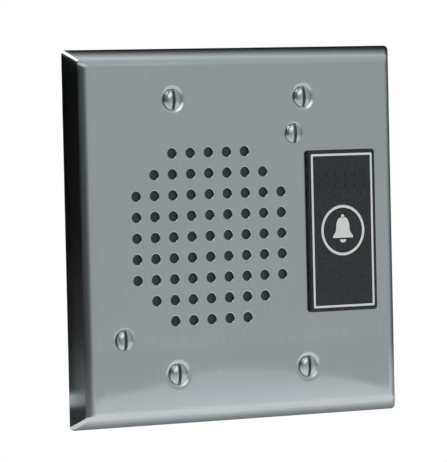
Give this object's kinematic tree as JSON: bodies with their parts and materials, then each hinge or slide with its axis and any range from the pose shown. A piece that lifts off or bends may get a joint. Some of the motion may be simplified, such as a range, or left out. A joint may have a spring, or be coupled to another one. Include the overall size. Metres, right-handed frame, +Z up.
{
  "type": "door speaker plate",
  "caption": "Flush two-gang stainless wall plate with a perforated field, a small loudspeaker behind it and a black call button panel beside it.",
  "frame": {"origin": "centre of the plate on the wall plane, which is the plane of the plate's rear rim and the centre of its four wall-box screws", "axes": "+Z up, +X to the right as seen from the front, +Y into the wall, so the face of the plate looks along -Y"},
  "size_m": [0.1158, 0.0353, 0.1142],
  "materials": {
    "stainless": "satin brushed",
    "screw_steel": "bright turned",
    "zinc_steel": "zinc plated",
    "frame_steel": "dull zinc plated sheet",
    "motor_steel": "yellow passivated",
    "ferrite": "ground ferrite",
    "black_plastic": "fine grained",
    "black_film": "satin film, back printed",
    "pale_plastic": "smooth",
    "green_plastic": "smooth moulded",
    "board_green": "solder resist",
    "phenolic": "punched laminate",
    "foam": "open foam",
    "seal_rubber": "matt",
    "cloth": "plain weave",
    "spider_cloth": "resin treated weave",
    "surround_cloth": "coated cloth",
    "cone_paper": "pressed pulp",
    "former_paper": "kraft tube",
    "copper": "enamelled wire",
    "brass": "stamped",
    "tinned_brass": "tin plated"
  },
  "bodies": {
    "plate": {"face_plate": "stainless", "box_screws": "screw_steel", "speaker_screws": "screw_steel", "lock_washers": "zinc_steel", "speaker_nuts": "zinc_steel", "grille_cloth": "cloth", "speaker_gasket": "foam", "speaker_frame": "frame_steel", "cone_surround": "surround_cloth", "spider": "spider_cloth", "top_plate": "motor_steel", "magnet_ring": "ferrite", "pole_yoke": "motor_steel", "terminal_strip": "phenolic", "strip_rivet": "zinc_steel", "solder_lugs": "tinned_brass", "tinsel_leads": "copper", "call_bezel": "black_plastic", "bezel_seal": "seal_rubber", "front_film": "black_film", "contact_dome": "tinned_brass", "switch_body": "black_plastic", "switch_pins": "tinned_brass", "switch_board": "board_green", "board_screws": "zinc_steel", "bezel_clamps": "zinc_steel", "clamp_screws": "zinc_steel", "terminal_block": "green_plastic", "terminal_cages": "brass", "terminal_screws": "zinc_steel"},
    "diaphragm": {"paper_cone": "cone_paper", "dust_cap": "cone_paper", "coil_former": "former_paper", "voice_coil": "copper"},
    "button": {"call_button": "black_film", "switch_plunger": "pale_plastic"}
  },
  "joints": [
    {"name": "cone_travel", "type": "slide", "parent": "plate", "child": "diaphragm", "axis": [0, 1, 0], "range_m": [-0.0007, 0.0007], "stiffness_N_per_m": 1500, "deforming": ["cone_surround", "spider", "tinsel_leads"]},
    {"name": "call_press", "type": "slide", "parent": "plate", "child": "button", "axis": [0, 1, 0], "range_m": [0, 0.0006], "stiffness_N_per_m": 2500, "springref_m": -0.0004, "deforming": ["contact_dome"]}
  ]
}
